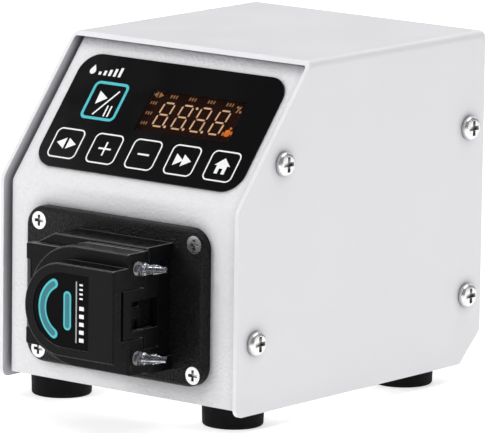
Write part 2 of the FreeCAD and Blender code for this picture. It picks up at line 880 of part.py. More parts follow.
def build_head_base():
    """The fixed block between the plate and the cartridge, with its left corners cut back."""
    top, drop = "axis_z + base_half_height", "base_shoulder_drop"
    low = "axis_z - base_half_height"
    outline = (
        ("head_right", low),
        ("head_right", top),
        ("base_shoulder_x", top),
        ("base_left", f"{top} - {drop}"),
        ("base_left", f"{low} + {drop}"),
        ("base_shoulder_x", low),
    )
    piece = Piece("head_base")
    piece.prism("y", outline, ("base_front", "plate_front"))
    front = size("base_front")
    piece.round("outline_round", lambda edge: lies_at(edge, "y", front))
    recess_end = "base_front + base_recess_depth"
    piece.rod("y", ("axis_x", "axis_z"), ("base_front - 1", recess_end), "base_recess_radius", cut=True)
    piece.rod("y", ("axis_x", "axis_z"), ("base_front - 1", "plate_front + 1"), "base_bore", cut=True)
    notch = "(lever_ear + lever_play)"
    piece.block(("lever_inner - 0.6", "head_right + 1"), ("base_front - 1", "lever_rear + lever_play"),
                around("axis_z", notch), cut=True)
    piece.block(("head_right - 1.2", "head_right + 1"), ("lever_rear + lever_play", "plate_front + 1"),
                around("axis_z", "base_side_drop"), cut=True)
    for centre in BASE_SCREWS:
        piece.rod("y", centre, ("base_front - 1", "plate_front + 1"), "m25_radius", cut=True)
        piece.rod("y", centre, ("base_front - 1", "base_front + base_screw_seat"),
                  "m25_head_radius + hole_play", cut=True)
    seat = front + size("base_screw_seat")
    places = [
        facing(-Y_AXIS, size(f"base_screw_{side}"), seat, size("axis_z") + up * size(f"base_screw_{side}_up"))
        for side in ("left", "right")
        for up in (-1, 1)
    ]
    group("base_screws", M25_SCREW, places)


CARTRIDGE_SCREWS = tuple(("cartridge_screw_x", f"axis_z {up} cartridge_screw_up") for up in "-+")
LEVER_NOTCH = "(lever_half + lever_play)"


def build_cartridge_body():
    """The ring that backs the tube, with channels to the right and the lever's pocket."""
    piece = Piece("cartridge_body")
    span = ("body_front", "back_front")
    piece.d_shape(span, "body_radius", "head_right")
    front = size("body_front")
    piece.round("outline_round", lambda edge: lies_at(edge, "y", front))
    piece.d_shape(("body_front + 1", "back_front + 1"), "track_radius", "track_right", cut=True)
    piece.rod("y", ("axis_x", "axis_z"), ("body_front - 1", "body_front + 2"), "cover_cavity", cut=True)
    for side in ("-", "+"):
        channel = ("tube_y", f"axis_z {side} tube_offset")
        piece.rod("x", channel, ("track_right - 1", "head_right + 1"), "tube_radius + running_play", cut=True)
    piece.block(("lever_pocket", "head_right + 1"), ("body_front - 1", "back_front + 1"),
                around("axis_z", LEVER_NOTCH), cut=True)
    piece.rod("z", ("lever_pin_x", "lever_pin_y"), around("axis_z", "lever_pin_out"),
              "lever_pin_radius", cut=True)
    piece.block(("lever_pocket - 0.5", "lever_inner + 0.3"), ("window_front + 0.4", "back_front"),
                ("axis_z - 2.2", "axis_z + 1.9"))
    for centre in CARTRIDGE_SCREWS:
        piece.rod("y", centre, ("body_front - 1", "back_front + 1"), "m25_radius", cut=True)


def build_back_plate():
    """The cartridge's back plate, which runs out to the left as the tab that pulls it off."""
    piece = Piece("cartridge_back_plate")
    span = ("back_front", "base_front")
    piece.block(("tab_left", "head_right"), span, around("axis_z", "tab_half_height"))
    left = size("tab_left")
    piece.round("1.0", lambda edge: straight(edge, "y") and lies_at(edge, "x", left))
    piece.d_shape(span, "body_radius", "head_right")
    front = size("back_front")
    piece.round("outline_round / 2", lambda edge: lies_at(edge, "y", front) and reach(edge, "x")[1] < -12)
    piece.rod("y", ("axis_x", "axis_z"), ("back_front - 1", "base_front + 1"), "tab_hole", cut=True)
    piece.block(("tab_left - 1", "tab_left + 2.4"), ("back_front - 1", "base_front + 1"),
                around("axis_z", "pin_notch"), cut=True)
    piece.block(("lever_inner - 0.6", "head_right + 1"), ("back_front - 1", "base_front + 1"),
                around("axis_z", "(lever_ear + lever_play)"), cut=True)
    for side in ("-", "+"):
        low = f"axis_z {side} pin_notch"
        piece.rod("z", PIN_CENTRE, (f"({low}) - 1.5", f"({low}) + 1.5"), "0.8", cut=True)
    for centre in CARTRIDGE_SCREWS:
        piece.rod("y", centre, ("back_front - 1", "base_front + 1"), "m25_radius", cut=True)
        piece.rod("y", centre, ("base_front - m25_head_height", "base_front + 1"),
                  "m25_head_radius + hole_play", cut=True)
    pin = Piece("striker_pin")
    pin.rod("z", PIN_CENTRE, around("axis_z", "pin_notch"), "1.15")
    pin.rod("z", PIN_CENTRE, around("axis_z", "(pin_notch + 1.5)"), "0.8")


PIN_CENTRE = ("tab_left + 1.1", "back_front + 1.05")


def build_cartridge_cover():
    """The D-shaped front cover with the shaft bush's boss, the label's recess and the lever's pocket."""
    piece = Piece("cartridge_cover")
    span = ("head_front", "body_front")
    piece.d_shape(span, "cover_radius", "head_right")
    front = size("head_front")
    piece.round("outline_round", lambda edge: lies_at(edge, "y", front))
    piece.rod("y", ("axis_x", "axis_z"), ("head_front + 2", "body_front + 1"), "cover_cavity", cut=True)
    piece.rod("y", ("axis_x", "axis_z"), ("head_front + 1.5", "bush_rear"), "bush_radius + 2")
    piece.rod("y", ("axis_x", "axis_z"), ("head_front + 2", "body_front + 1"), "bush_radius", cut=True)
    piece.d_shape(("head_front - 1", "head_front + label_depth"), "label_radius", "label_right",
                  cut=True, middle="label_mid")
    piece.block(("lever_pocket", "head_right + 1"), ("lever_front - lever_gap", "body_front + 1"),
                around("axis_z", LEVER_NOTCH), cut=True)
    piece.rod("x", ("spring_y", "axis_z"), ("spring_seat", "head_right"),
              "spring_radius + spring_wire + 0.1", cut=True)
    for centre in CARTRIDGE_SCREWS:
        piece.rod("y", centre, ("body_front - 5", "body_front + 1"), "m25_radius", cut=True)
    seat = size("base_front") - size("m25_head_height")
    places = [
        facing(Y_AXIS, size("cartridge_screw_x"), seat, size("axis_z") + up * size("cartridge_screw_up"))
        for up in (-1, 1)
    ]
    group("cartridge_screws", M25_SCREW, places)
    label = Piece("cartridge_label")
    label.d_shape(("head_front + label_depth - label_thick", "head_front + label_depth"),
                  "label_radius - 0.1", "label_right - 0.1", middle="label_mid")
    bush = Piece("shaft_bush")
    bush.rod("y", ("axis_x", "axis_z"), ("head_front + 2", "bush_rear"), "bush_radius")
    bush.rod("y", ("axis_x", "axis_z"), ("head_front + 1", "bush_rear + 1"),
             "shaft_radius + running_play", cut=True)


def build_tube():
    """The pump tube: pressed flat between rollers and track, and round where it leaves."""
    piece = Piece("pump_tube")
    span = ("back_front - 5.8", "back_front")
    piece.d_shape(span, "track_radius", "tube_strip_end")
    piece.rod("y", ("axis_x", "axis_z"), ("back_front - 7", "back_front + 1"), "tube_pressed", cut=True)
    piece.block(("axis_x", "track_right + 3"), ("back_front - 7", "back_front + 1"),
                around("axis_z", "tube_pressed"), cut=True)
    piece.block(("tube_strip_end", "track_right + 3"), ("back_front - 7", "back_front + 1"),
                around("axis_z", "(track_radius + 1)"), cut=True)
    for side in ("-", "+"):
        channel = ("tube_y", f"axis_z {side} tube_offset")
        piece.rod("x", channel, ("tube_strip_end - 0.1", "head_right - 0.6"), "tube_radius")
        piece.rod("x", channel, ("tube_strip_end + 1", "head_right + 1"), "tube_bore", cut=True)


def build_connectors():
    """Two clear elbow connectors with barbs, one at each end of the tube."""
    turn = size("connector_turn")
    steps = (
        ("0", "0.9", "2.2", "2.2"),
        ("0.9", "1.6", "1.45", "1.45"),
        ("1.6", "4.2", "2.15", "1.4"),
        ("4.2", "4.8", "1.3", "1.3"),
        ("4.8", "7.6", "1.75", "1.1"),
        ("7.6", "9.0", "1.1", "1.0"),
    )
    for name, side in (("tube_connector_lower", -1), ("tube_connector_upper", 1)):
        piece = Piece(name)
        for start, end, radius, end_radius in steps:
            taper = None if radius == end_radius else end_radius
            piece.rod("x", ("0", "0"), (start, end), radius, end_radius=taper)
        inwards = FreeCAD.Rotation(Z_AXIS, 180 - turn)
        stub = piece.feature("Cylinder", False)
        stub.Placement = FreeCAD.Placement(inwards.multVec(-X_AXIS * 0.6), inwards * TURN["x"])
        stub.setExpression("Radius", formula("tube_bore - running_play"))
        stub.setExpression("Height", "10.5")
        piece.rod("x", ("0", "0"), ("1", "10"), "0.7", cut=True)
        corner = FreeCAD.Vector(size("head_right") + 0.5, size("tube_y"),
                                size("axis_z") + side * size("tube_offset"))
        piece.body.Placement = FreeCAD.Placement(corner, FreeCAD.Rotation(Z_AXIS, turn))


def build_lever():
    """The release lever on the right side: it rocks on an upright pin against a small spring."""
    piece = Piece("release_lever")
    thick = ("lever_inner", "lever_outer")
    piece.block(thick, ("lever_front", "lever_mid"), around("axis_z", "lever_half"))
    piece.block(thick, ("lever_mid + 0.4", "lever_rear"), around("axis_z", "lever_ear"))
    piece.block(thick, ("lever_mid - 0.1", "lever_mid + 0.5"), around("axis_z", "lever_half"))
    outer = size("lever_outer")
    piece.round("0.3", lambda edge: lies_at(edge, "x", outer))
    piece.block(("lever_inner - 1", "lever_outer + 1"), ("window_front", "window_rear"),
                ("axis_z + window_low", "axis_z + window_high"), cut=True)
    piece.rod("z", ("lever_pin_x", "lever_pin_y"), around("axis_z", "(lever_ear + 1)"),
              "lever_pin_radius + running_play", cut=True)
    pin = Piece("pattern_lever_pin", kept=False)
    pin.rod("z", ("0", "0"), ("lever_pin_in", "lever_pin_out"), "lever_pin_radius")
    pivot = (size("lever_pin_x"), size("lever_pin_y"), size("axis_z"))
    group("lever_pins", pin, [facing(Z_AXIS * side, *pivot) for side in (-1, 1)])
    build_lever_spring()


def build_lever_spring():
    """A compression spring of four turns between the cover and the lever."""
    wire = size("spring_wire")
    length = size("lever_inner") - size("spring_seat") - 2 * wire
    radius = size("spring_radius")
    path = Part.Wire(Part.makeHelix(length / 4, length, radius).Edges)
    start = FreeCAD.Vector(radius, 0, 0)
    profile = Part.Wire([Part.makeCircle(wire, start, Y_AXIS)])
    made = doc.addObject("Part::Feature", "lever_spring")
    made.Shape = path.makePipeShell([profile], True, True)
    seat = FreeCAD.Vector(size("spring_seat") + wire, size("spring_y"), size("axis_z"))
    made.Placement = FreeCAD.Placement(seat, TURN["x"])
    nodes.append(made)


# Rotor


def build_rotor():
    """The roller cage on the motor shaft, with three free rollers on pressed pins."""
    shaft_line = ("axis_x", "axis_z")
    cage = Piece("rotor_cage")
    cage.rod("y", shaft_line, ("cage_front", "cage_front + cage_web"), "cage_front_radius")
    cage.rod("y", shaft_line, ("cage_rear - cage_back_web", "cage_rear"), "cage_rear_radius")
    cage.rod("y", shaft_line, ("cage_front", "cage_rear"), "hub_radius")
    cage.rod("y", shaft_line, ("cage_front - 1", "cage_rear + 1"), "shaft_radius", cut=True)
    cage.rod("z", ("axis_x", "tube_y"), ("axis_z - hub_radius - 1", "axis_z"), "m3_radius", cut=True)
    pins = Piece("pattern_pin", kept=False)
    pins.rod("y", ("0", "0"), ("cage_front", "cage_rear"), "pin_radius")
    places = []
    for number in range(3):
        angle = 90 + number * 120
        centre = (f"axis_x + roller_circle * cos({angle} deg)", f"axis_z + roller_circle * sin({angle} deg)")
        cage.rod("y", centre, ("cage_front - 1", "cage_rear + 1"), "pin_radius", cut=True)
        roller = Piece(f"roller_{number + 1}")
        roller.rod("y", centre, ("roller_front", "roller_rear"), "roller_radius")
        roller.round("0.4", lambda edge: edge.Curve.TypeId == "Part::GeomCircle")
        roller.rod("y", centre, ("roller_front - 1", "roller_rear + 1"),
                   "pin_radius + running_play", cut=True)
        reach_out, turned = size("roller_circle"), math.radians(angle)
        places.append(FreeCAD.Placement(
            FreeCAD.Vector(size("axis_x") + reach_out * math.cos(turned), 0,
                           size("axis_z") + reach_out * math.sin(turned)), TURN["z"]))
    group("roller_pins", pins, places)
    screw = Piece("hub_screw")
    screw.rod("z", ("axis_x", "tube_y"), ("axis_z - hub_radius", "axis_z - shaft_radius"), "m3_radius")
    screw.rod("z", ("axis_x", "tube_y"), ("axis_z - hub_radius - 1", "axis_z - hub_radius + 1.2"),
              "0.75", cut=True)
    shaft = Piece("motor_shaft")
    shaft.rod("y", shaft_line, ("shaft_front", "shaft_rear"), "shaft_radius")
    shaft.round("0.4", lambda edge: edge.Curve.TypeId == "Part::GeomCircle")
    shaft.block(around("axis_x", "1.2"), around("tube_y", "1.6"),
                ("axis_z - shaft_radius - 1", "axis_z - shaft_radius"), cut=True)


# Stepper motor


def motor_block(label, span):
    """One square layer of the motor with cut corners."""
    piece = Piece(label)
    piece.block(around("axis_x", "motor_half"), span, around("axis_z", "motor_half"))
    piece.round("motor_corner", lambda edge: straight(edge, "y"), kind="Chamfer")
    return piece


def corner_holes(piece, span, radius):
    """The four holes at the motor's corners."""
    for side in ("-", "+"):
        for up in ("-", "+"):
            piece.rod("y", (f"axis_x {side} motor_hole", f"axis_z {up} motor_hole"), span, radius, cut=True)


def build_motor():
    """Front bell, laminated stator, rear bell, rotor core, two bearings and the through bolts."""
    line = ("axis_x", "axis_z")
    front = motor_block("motor_front_bell", ("motor_front", "motor_bell_rear"))
    front.rod("y", line, ("motor_front - 2", "motor_front + 1"), "pilot_radius")
    front.rod("y", line, ("motor_front - 3", "motor_bell_rear + 1"), "shaft_radius + 0.5", cut=True)
    front.rod("y", line, ("motor_bell_rear - bearing_width", "motor_bell_rear + 1"),
              "bearing_radius", cut=True)
    corner_holes(front, ("motor_front - 1", "motor_bell_rear + 1"), "m3_radius")
    stack = motor_block("motor_stator", ("motor_bell_rear", "motor_stack_rear"))
    stack.rod("y", line, ("motor_bell_rear - 1", "motor_stack_rear + 1"), "stator_bore", cut=True)
    corner_holes(stack, ("motor_bell_rear - 1", "motor_stack_rear + 1"), "m3_radius + hole_play")
    rear = motor_block("motor_rear_bell", ("motor_stack_rear", "motor_rear"))
    rear.rod("y", line, ("motor_stack_rear - 1", "motor_stack_rear + bearing_width"),
             "bearing_radius", cut=True)
    corner_holes(rear, ("motor_stack_rear - 1", "motor_rear + 1"), "m3_radius + hole_play")
    core = Piece("motor_core")
    core.rod("y", line, ("motor_bell_rear + 1.5", "motor_stack_rear - 1.5"), "stator_bore - air_gap")
    core.rod("y", line, ("motor_bell_rear", "motor_stack_rear"), "shaft_radius", cut=True)
    for name, start in (("motor_bearing_front", "motor_bell_rear - bearing_width"),
                        ("motor_bearing_rear", "motor_stack_rear")):
        bearing = Piece(name)
        bearing.rod("y", line, (start, f"{start} + bearing_width"), "bearing_radius")
        bearing.rod("y", line, (f"{start} - 1", f"{start} + bearing_width + 1"),
                    "shaft_radius + bearing_play", cut=True)
    hole = size("motor_hole")
    places = [
        facing(Y_AXIS, size("axis_x") + side * hole, size("motor_rear"), size("axis_z") + up * hole)
        for side in (-1, 1)
        for up in (-1, 1)
    ]
    group("motor_bolts", MOTOR_BOLT, places)


# Driver board and rear panel


def build_driver():
    """The driver board on its pillars, with a finned heat sink and two capacitors."""
    board_low = f"({FLOOR_TOP} + driver_up)"
    board_high = f"({board_low} + board_thick)"
    board = Piece("driver_board")
    board.block(around("0", "driver_half_width"), ("driver_front", "driver_rear"), (board_low, board_high))
    through = (f"{board_low} - 1", f"{board_high} + 1")
    for side in ("-", "+"):
        for y in ("driver_front + driver_inset", "driver_rear - driver_inset"):
            board.rod("z", (f"0 {side} (driver_half_width - driver_inset)", y), through,
                      "m3_radius + hole_play", cut=True)
    sink = Piece("driver_heat_sink")
    depth = ("sink_front", "sink_rear")
    sink.block(("sink_left", "sink_right"), depth, (board_high, f"{board_high} + sink_base"))
    for fin in range(8):
        start = f"sink_left + {fin} * fin_pitch"
        sink.block((start, f"{start} + fin_thick"), depth,
                   (f"{board_high} + sink_base - 1", f"{board_high} + sink_height"))
    can = Piece("pattern_capacitor", kept=False)
    can.rod("z", ("0", "0"), ("0", "can_height"), "can_radius")
    top = size("can_height")
    can.round("0.8", lambda edge: lies_at(edge, "z", top))
    level = floor_top() + size("driver_up") + size("board_thick")
    places = [
        FreeCAD.Placement(FreeCAD.Vector(size("can_x"), size(y), level), TURN["z"])
        for y in ("can_front_y", "can_rear_y")
    ]
    group("driver_capacitors", can, places)


def build_switch():
    """The rocker switch on the rear panel, with its rocker resting in the off position."""
    body = Piece("power_switch_body")
    body.block(around("switch_x", "switch_half_width"), ("switch_front", REAR_FACE),
               around("fitting_z", "switch_half_height"))
    body.block(around("switch_x", "switch_half_width + 1"), (REAR_FACE, f"{REAR_FACE} + switch_bezel"),
               around("fitting_z", "switch_half_height + 0.9"))
    bezel = size("case_rear") - size("rear_recess") + size("switch_bezel")
    body.round("0.8", lambda edge: lies_at(edge, "y", bezel))
    body.block(around("switch_x", "rocker_half_width + hole_play"),
               ("rocker_pivot_y - 3.5", f"{REAR_FACE} + 3"), around("fitting_z", "rocker_half_height + 1.3"),
               cut=True)
    body.rod("x", ("rocker_pivot_y", "fitting_z"), around("switch_x", "rocker_half_width + 0.8"),
             "rocker_pin_radius + running_play", cut=True)
    rocker = Piece("power_rocker")
    low, high = around("0", "rocker_half_height")
    shape = (("-1", low), ("6.2", low), ("5", "0"), ("6.2", high), ("-1", high))
    rocker.prism("x", shape, around("0", "rocker_half_width"))
    rocker.round("0.5", lambda edge: straight(edge, "x") and reach(edge, "y")[0] > 6)
    rocker.rod("x", ("0", "0"), around("0", "rocker_half_width + 0.7"), "rocker_pin_radius")
    pivot = FreeCAD.Vector(size("switch_x"), size("rocker_pivot_y"), size("fitting_z"))
    rocker.body.Placement = FreeCAD.Placement(pivot, FreeCAD.Rotation(X_AXIS, -size("rocker_tilt")))


def build_socket_and_port():
    """The round direct-current socket and the nine-pin control port."""
    socket = Piece("power_socket")
    line = ("socket_x", "fitting_z")
    socket.rod("y", line, ("socket_front", REAR_FACE), "socket_radius")
    socket.rod("y", line, (REAR_FACE, f"{REAR_FACE} + socket_rim"), "socket_radius + 1.6")
    rim = size("case_rear") - size("rear_recess") + size("socket_rim")
    socket.round("0.6", lambda edge: lies_at(edge, "y", rim))
    socket.rod("y", line, ("socket_front + 6", f"{REAR_FACE} + 3"), "socket_radius - 1.2", cut=True)
    socket.rod("y", line, ("socket_front + 5", f"{REAR_FACE} + 1"), "1")
    port = Piece("control_port")
    port.block(around("port_x", "port_flange"), (REAR_FACE, f"{REAR_FACE} + 1"),
               around("fitting_z", "port_half_height + 1.5"))
    port.block(around("port_x", "port_half_width"), ("port_front", REAR_FACE),
               around("fitting_z", "port_half_height"))
    port.block(around("port_x", "port_half_width - 0.5"), (REAR_FACE, "port_rear"),
               around("fitting_z", "port_half_height - 0.5"))
    port_rear, middle, half = size("port_rear"), size("port_x"), size("port_half_width")
    port.round("1.6", lambda edge: straight(edge, "y") and abs(reach(edge, "x")[0] - middle) < half
               and abs(reach(edge, "y")[1] - port_rear) < TINY)
    port.block(around("port_x", "port_half_width - 0.9"), (f"{REAR_FACE} + 0.5", "port_rear + 1"),
               around("fitting_z", "port_half_height - 0.9"), cut=True)
    for row, count in (("+", 5), ("-", 4)):
        for number in range(count):
            place = (f"port_x + port_pin_pitch * {number - (count - 1) / 2}", f"fitting_z {row} port_pin_row")
            port.rod("y", place, (f"{REAR_FACE} - 1", "port_rear - 0.8"), "0.5")
    for side in ("-", "+"):
        port.rod("y", (f"port_x {side} 12.5", "fitting_z"), (REAR_FACE, f"{REAR_FACE} + 4.5"), "2.4")


def check(items):
    """Stops unless every object of the document is up to date and every sub-part is a valid shape."""
    doc.recompute()
    for item in doc.Objects:
        if {"Invalid", "Error"} & set(item.State):
            raise RuntimeError(f"{item.Label} failed: {item.State}")
    for item in items:
        if item.Shape.isNull() or not item.Shape.isValid() or not item.Shape.Solids:
            raise RuntimeError(f"{item.Label} has no valid solid")


def write(items):
    """One STEP file for each sub-part."""
    os.makedirs("parts", exist_ok=True)
    for item in items:
        item.Shape.exportStep(f"parts/{item.Label}.step")
        box = item.Shape.BoundBox
        corners = (box.XMin, box.XMax, box.YMin, box.YMax, box.ZMin, box.ZMax)
        spans = " ".join(f"{value:.2f}" for value in corners)
        print(f"{item.Label:24s} {len(item.Shape.Solids)} solids, {item.Shape.Volume:.2f} mm3, box {spans}")
    print(len(items), "sub-parts")


build_cover()
build_chassis()
build_feet()
build_case_screws()
build_overlay()
build_display()
build_keys()
build_control_board()
build_posts()
build_mount_plate()
build_head_base()
build_cartridge_body()
build_back_plate()
build_cartridge_cover()
build_tube()
build_connectors()
build_lever()
build_rotor()
build_motor()
build_driver()
build_switch()
build_socket_and_port()
check(nodes)
write(nodes)
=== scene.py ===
import json
import math

import bmesh
import bpy
from mathutils import Matrix, Vector


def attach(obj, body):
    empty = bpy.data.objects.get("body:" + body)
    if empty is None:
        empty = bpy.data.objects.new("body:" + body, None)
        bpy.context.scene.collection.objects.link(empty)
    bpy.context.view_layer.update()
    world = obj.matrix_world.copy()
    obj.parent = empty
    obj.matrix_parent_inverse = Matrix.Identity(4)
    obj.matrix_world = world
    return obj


# A bench-top peristaltic pump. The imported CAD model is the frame; this script gives every part its
# material and adds the printed marks, the lit display and the small mouldings.

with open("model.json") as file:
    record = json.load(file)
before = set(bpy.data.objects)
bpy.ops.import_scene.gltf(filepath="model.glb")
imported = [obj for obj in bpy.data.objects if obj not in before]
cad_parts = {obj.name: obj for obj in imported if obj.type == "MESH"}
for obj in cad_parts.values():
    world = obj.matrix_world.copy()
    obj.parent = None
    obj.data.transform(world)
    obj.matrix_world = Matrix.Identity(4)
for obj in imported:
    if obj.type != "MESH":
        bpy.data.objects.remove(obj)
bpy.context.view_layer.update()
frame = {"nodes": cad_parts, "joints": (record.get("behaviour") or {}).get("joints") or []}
NODES = frame["nodes"]
JOINTS = {joint["name"]: joint for joint in frame["joints"]}
MM = 0.001

# Most noise values lie between these two.
NOISE_LOW, NOISE_HIGH = 0.3, 0.7

# Edges that face this side, towards the light, get a painted highlight, from slightly to fully as they face
# it more squarely.
HIGHLIGHT_SIDE = (-0.35, -0.25, 0.9)
HIGHLIGHT_START, HIGHLIGHT_FULL = 0.3, 0.65

# How deep marks start in their face and how far they stand out of it, in millimetres.
INK_ROOT, INK_TOP = -0.02, 0.03
LIT_ROOT, LIT_TOP = 0.0, 0.05


# ---------------------------------------------------------------- materials


class Finish:
    """A principled material, with surface detail, painted shade in crevices and painted edge highlights added
    by its methods. Lengths are in millimetres.

    Further inputs go by their names in lower case, with underscores for spaces.
    """

    def __init__(self, name, colour, roughness, metallic=0.0, **inputs):
        self.material = bpy.data.materials.new(name)
        self.material.use_nodes = True
        self.tree = self.material.node_tree
        self.shader = self.tree.nodes["Principled BSDF"]
        self.colour = colour
        self.roughness = roughness
        self.set("Base Color", (*colour, 1.0))
        self.set("Roughness", roughness)
        self.set("Metallic", metallic)
        for key, value in inputs.items():
            self.set(key.replace("_", " ").title().replace("Ior", "IOR"), value)
        self.place = self.node("ShaderNodeTexCoord").outputs["Object"]

    def node(self, kind, **settings):
        made = self.tree.nodes.new(kind)
        for key, value in settings.items():
            setattr(made, key, value)
        return made

    def link(self, start, end):
        self.tree.links.new(start, end)

    def set(self, name, value):
        self.shader.inputs[name].default_value = value

    def noise(self, grain, detail=2.0, stretch=(1, 1, 1)):
        """A noise value whose features are about grain millimetres across."""
        mapping = self.node("ShaderNodeMapping")
        mapping.inputs["Scale"].default_value = stretch
        self.link(self.place, mapping.inputs["Vector"])
        noise = self.node("ShaderNodeTexNoise")
        noise.inputs["Scale"].default_value = 1 / (grain * MM)
        noise.inputs["Detail"].default_value = detail
        self.link(mapping.outputs["Vector"], noise.inputs["Vector"])
        return noise.outputs["Fac"]

    def cells(self, grain, smooth=0.5):
        """A rounded cell pattern, as in orange peel and crinkle coats."""
        cells = self.node("ShaderNodeTexVoronoi", feature="SMOOTH_F1")
        cells.inputs["Scale"].default_value = 1 / (grain * MM)
        cells.inputs["Smoothness"].default_value = smooth
        self.link(self.place, cells.inputs["Vector"])
        return cells.outputs["Distance"]

    def bump(self, *layers):
        """Stacks bumps. Each layer is a value and its height in millimetres."""
        normal = None
        for value, height in layers:
            bump = self.node("ShaderNodeBump")
            bump.inputs["Strength"].default_value = 1.0
            bump.inputs["Distance"].default_value = height * MM
            self.link(value, bump.inputs["Height"])
            if normal:
                self.link(normal, bump.inputs["Normal"])
            normal = bump.outputs["Normal"]
        self.link(normal, self.shader.inputs["Normal"])
        return self

    def spread(self, value, low, high, name):
        """Drives a shader input from value, between low and high."""
        spread = self.node("ShaderNodeMapRange")
        spread.inputs["From Min"].default_value = NOISE_LOW
        spread.inputs["From Max"].default_value = NOISE_HIGH
        spread.inputs["To Min"].default_value = low
        spread.inputs["To Max"].default_value = high
        self.link(value, spread.inputs["Value"])
        self.link(spread.outputs["Result"], self.shader.inputs[name])
        return self

    def tint(self, value, other):
        """Mixes the base colour with another one by value."""
        mix = self.node("ShaderNodeMix", data_type="RGBA")
        mix.inputs["A"].default_value = (*self.colour, 1.0)
        mix.inputs["B"].default_value = (*other, 1.0)
        self.link(value, mix.inputs["Factor"])
        self.link(mix.outputs["Result"], self.shader.inputs["Base Color"])
        return self

    def free_space(self, reach, inside):
        """A value that falls from one to zero where surfaces lie within reach millimetres."""
        free = self.node("ShaderNodeAmbientOcclusion", samples=8, inside=inside)
        free.inputs["Distance"].default_value = reach * MM
        return free.outputs["AO"]

    def shade(self, value, other):
        """Mixes the base colour with another one where value is below one."""
        base = self.shader.inputs["Base Color"]
        start = base.links[0].from_socket if base.links else None
        mix = self.node("ShaderNodeMix", data_type="RGBA")
        mix.inputs["A"].default_value = (*other, 1.0)
        mix.inputs["B"].default_value = (*self.colour, 1.0)
        if start:
            self.link(start, mix.inputs["B"])
        self.link(value, mix.inputs["Factor"])
        self.link(mix.outputs["Result"], base)
        return self

    def painted_crevice_shade(self, depth, dark):
        """Paints shade: darkens the base colour in gaps and corners up to depth millimetres wide."""
        return self.shade(self.free_space(depth, False), dark)

    def edges(self, width, light):
        """Paints highlights: lightens the base colour within width millimetres of edges that face the light.
        """
        facing = self.node("ShaderNodeVectorMath", operation="DOT_PRODUCT")
        self.link(self.node("ShaderNodeNewGeometry").outputs["Normal"], facing.inputs[0])
        facing.inputs[1].default_value = HIGHLIGHT_SIDE
        amount = self.node("ShaderNodeMapRange")
        amount.inputs["From Min"].default_value = HIGHLIGHT_START
        amount.inputs["From Max"].default_value = HIGHLIGHT_FULL
        self.link(facing.outputs["Value"], amount.inputs["Value"])
        edge_highlight_mask = self.node("ShaderNodeMix", data_type="FLOAT")
        edge_highlight_mask.inputs["A"].default_value = 1.0
        self.link(amount.outputs["Result"], edge_highlight_mask.inputs["Factor"])
        self.link(self.free_space(width, True), edge_highlight_mask.inputs["B"])
        return self.shade(edge_highlight_mask.outputs["Result"], light)


def cover_paint():
    """Fine powder coat: a faint long-wave orange peel and very slight clouding."""
    finish = Finish("cover_paint", (0.74, 0.74, 0.765), 0.42)
    finish.bump((finish.noise(1.6), 0.012), (finish.noise(0.35), 0.003))
    finish.spread(finish.noise(14), 0.38, 0.46, "Roughness")
    finish.tint(finish.noise(45, 3), (0.765, 0.765, 0.785))
    # Painted shade darkens the paint in gaps and corners.
    return finish.painted_crevice_shade(3.5, (0.16, 0.15, 0.18)).material


def panel_paint():
    """Coarser textured powder coat with rounded pebbles."""
    finish = Finish("panel_paint", (0.77, 0.76, 0.775), 0.48)
    finish.bump((finish.cells(1.15), 0.23), (finish.noise(0.5), 0.06))
    finish.spread(finish.noise(2.2), 0.4, 0.56, "Roughness")
    finish.tint(finish.noise(1.3), (0.72, 0.71, 0.725))
    # Painted shade darkens the paint in gaps and corners, such as the shadow beside the mount plate.
    return finish.painted_crevice_shade(4.5, (0.1, 0.09, 0.13)).material


def crinkle_coat():
    """Black crinkle coat: hard small wrinkles that catch the light."""
    finish = Finish("crinkle_coat", (0.004, 0.004, 0.0045), 0.34, specular_ior_level=0.14)
    finish.bump((finish.cells(0.7, 0.2), 0.28), (finish.noise(0.3), 0.08))
    return finish.tint(finish.noise(0.8), (0.009, 0.0085, 0.0095)).material


def moulded_black(name, colour=(0.003, 0.003, 0.0035), roughness=0.36, shine=0.09, edge=None):
    """Spark-eroded black plastic with a fine even grain and slightly polished patches. If edge is given,
    edges facing the light get a painted highlight in that colour.
    """
    finish = Finish(name, colour, roughness, specular_ior_level=shine)
    finish.bump((finish.noise(0.22, 3), 0.012), (finish.noise(2.5), 0.01))
    finish.spread(finish.noise(5), roughness - 0.05, roughness + 0.07, "Roughness")
    finish.tint(finish.noise(0.3), tuple(c * 1.6 for c in colour))
    # Painted highlights on edges facing the light.
    if edge:
        finish.edges(0.6, edge)
    return finish.material


def gloss_film(name, colour=(0.002, 0.002, 0.0025), roughness=0.12, shine=0.1):
    """Smooth printed film: nearly flat, with a very faint waviness."""
    finish = Finish(name, colour, roughness, specular_ior_level=shine)
    finish.bump((finish.noise(9), 0.02), (finish.noise(0.5), 0.0006))
    return finish.spread(finish.noise(20), roughness - 0.02, roughness + 0.05, "Roughness").material


def rubber():
    """Moulded rubber, dull and slightly uneven."""
    finish = Finish("foot_rubber", (0.004, 0.004, 0.004), 0.6, specular_ior_level=0.05)
    finish.bump((finish.noise(0.5, 3), 0.03))
    return finish.tint(finish.noise(3), (0.009, 0.009, 0.009)).material


def plated(name, colour, roughness, brushed=(1, 1, 1)):
    """Plated or turned metal with fine marks, drawn out along one direction if brushed says so."""
    finish = Finish(name, colour, roughness, metallic=1.0)
    marks = finish.noise(0.25, 4, brushed)
    finish.bump((marks, 0.004))
    finish.spread(marks, roughness * 0.7, roughness * 1.5, "Roughness")
    # Painted shade blackens the recesses and the gaps around the heads.
    return finish.painted_crevice_shade(1.3, (0.0, 0.0, 0.0)).material


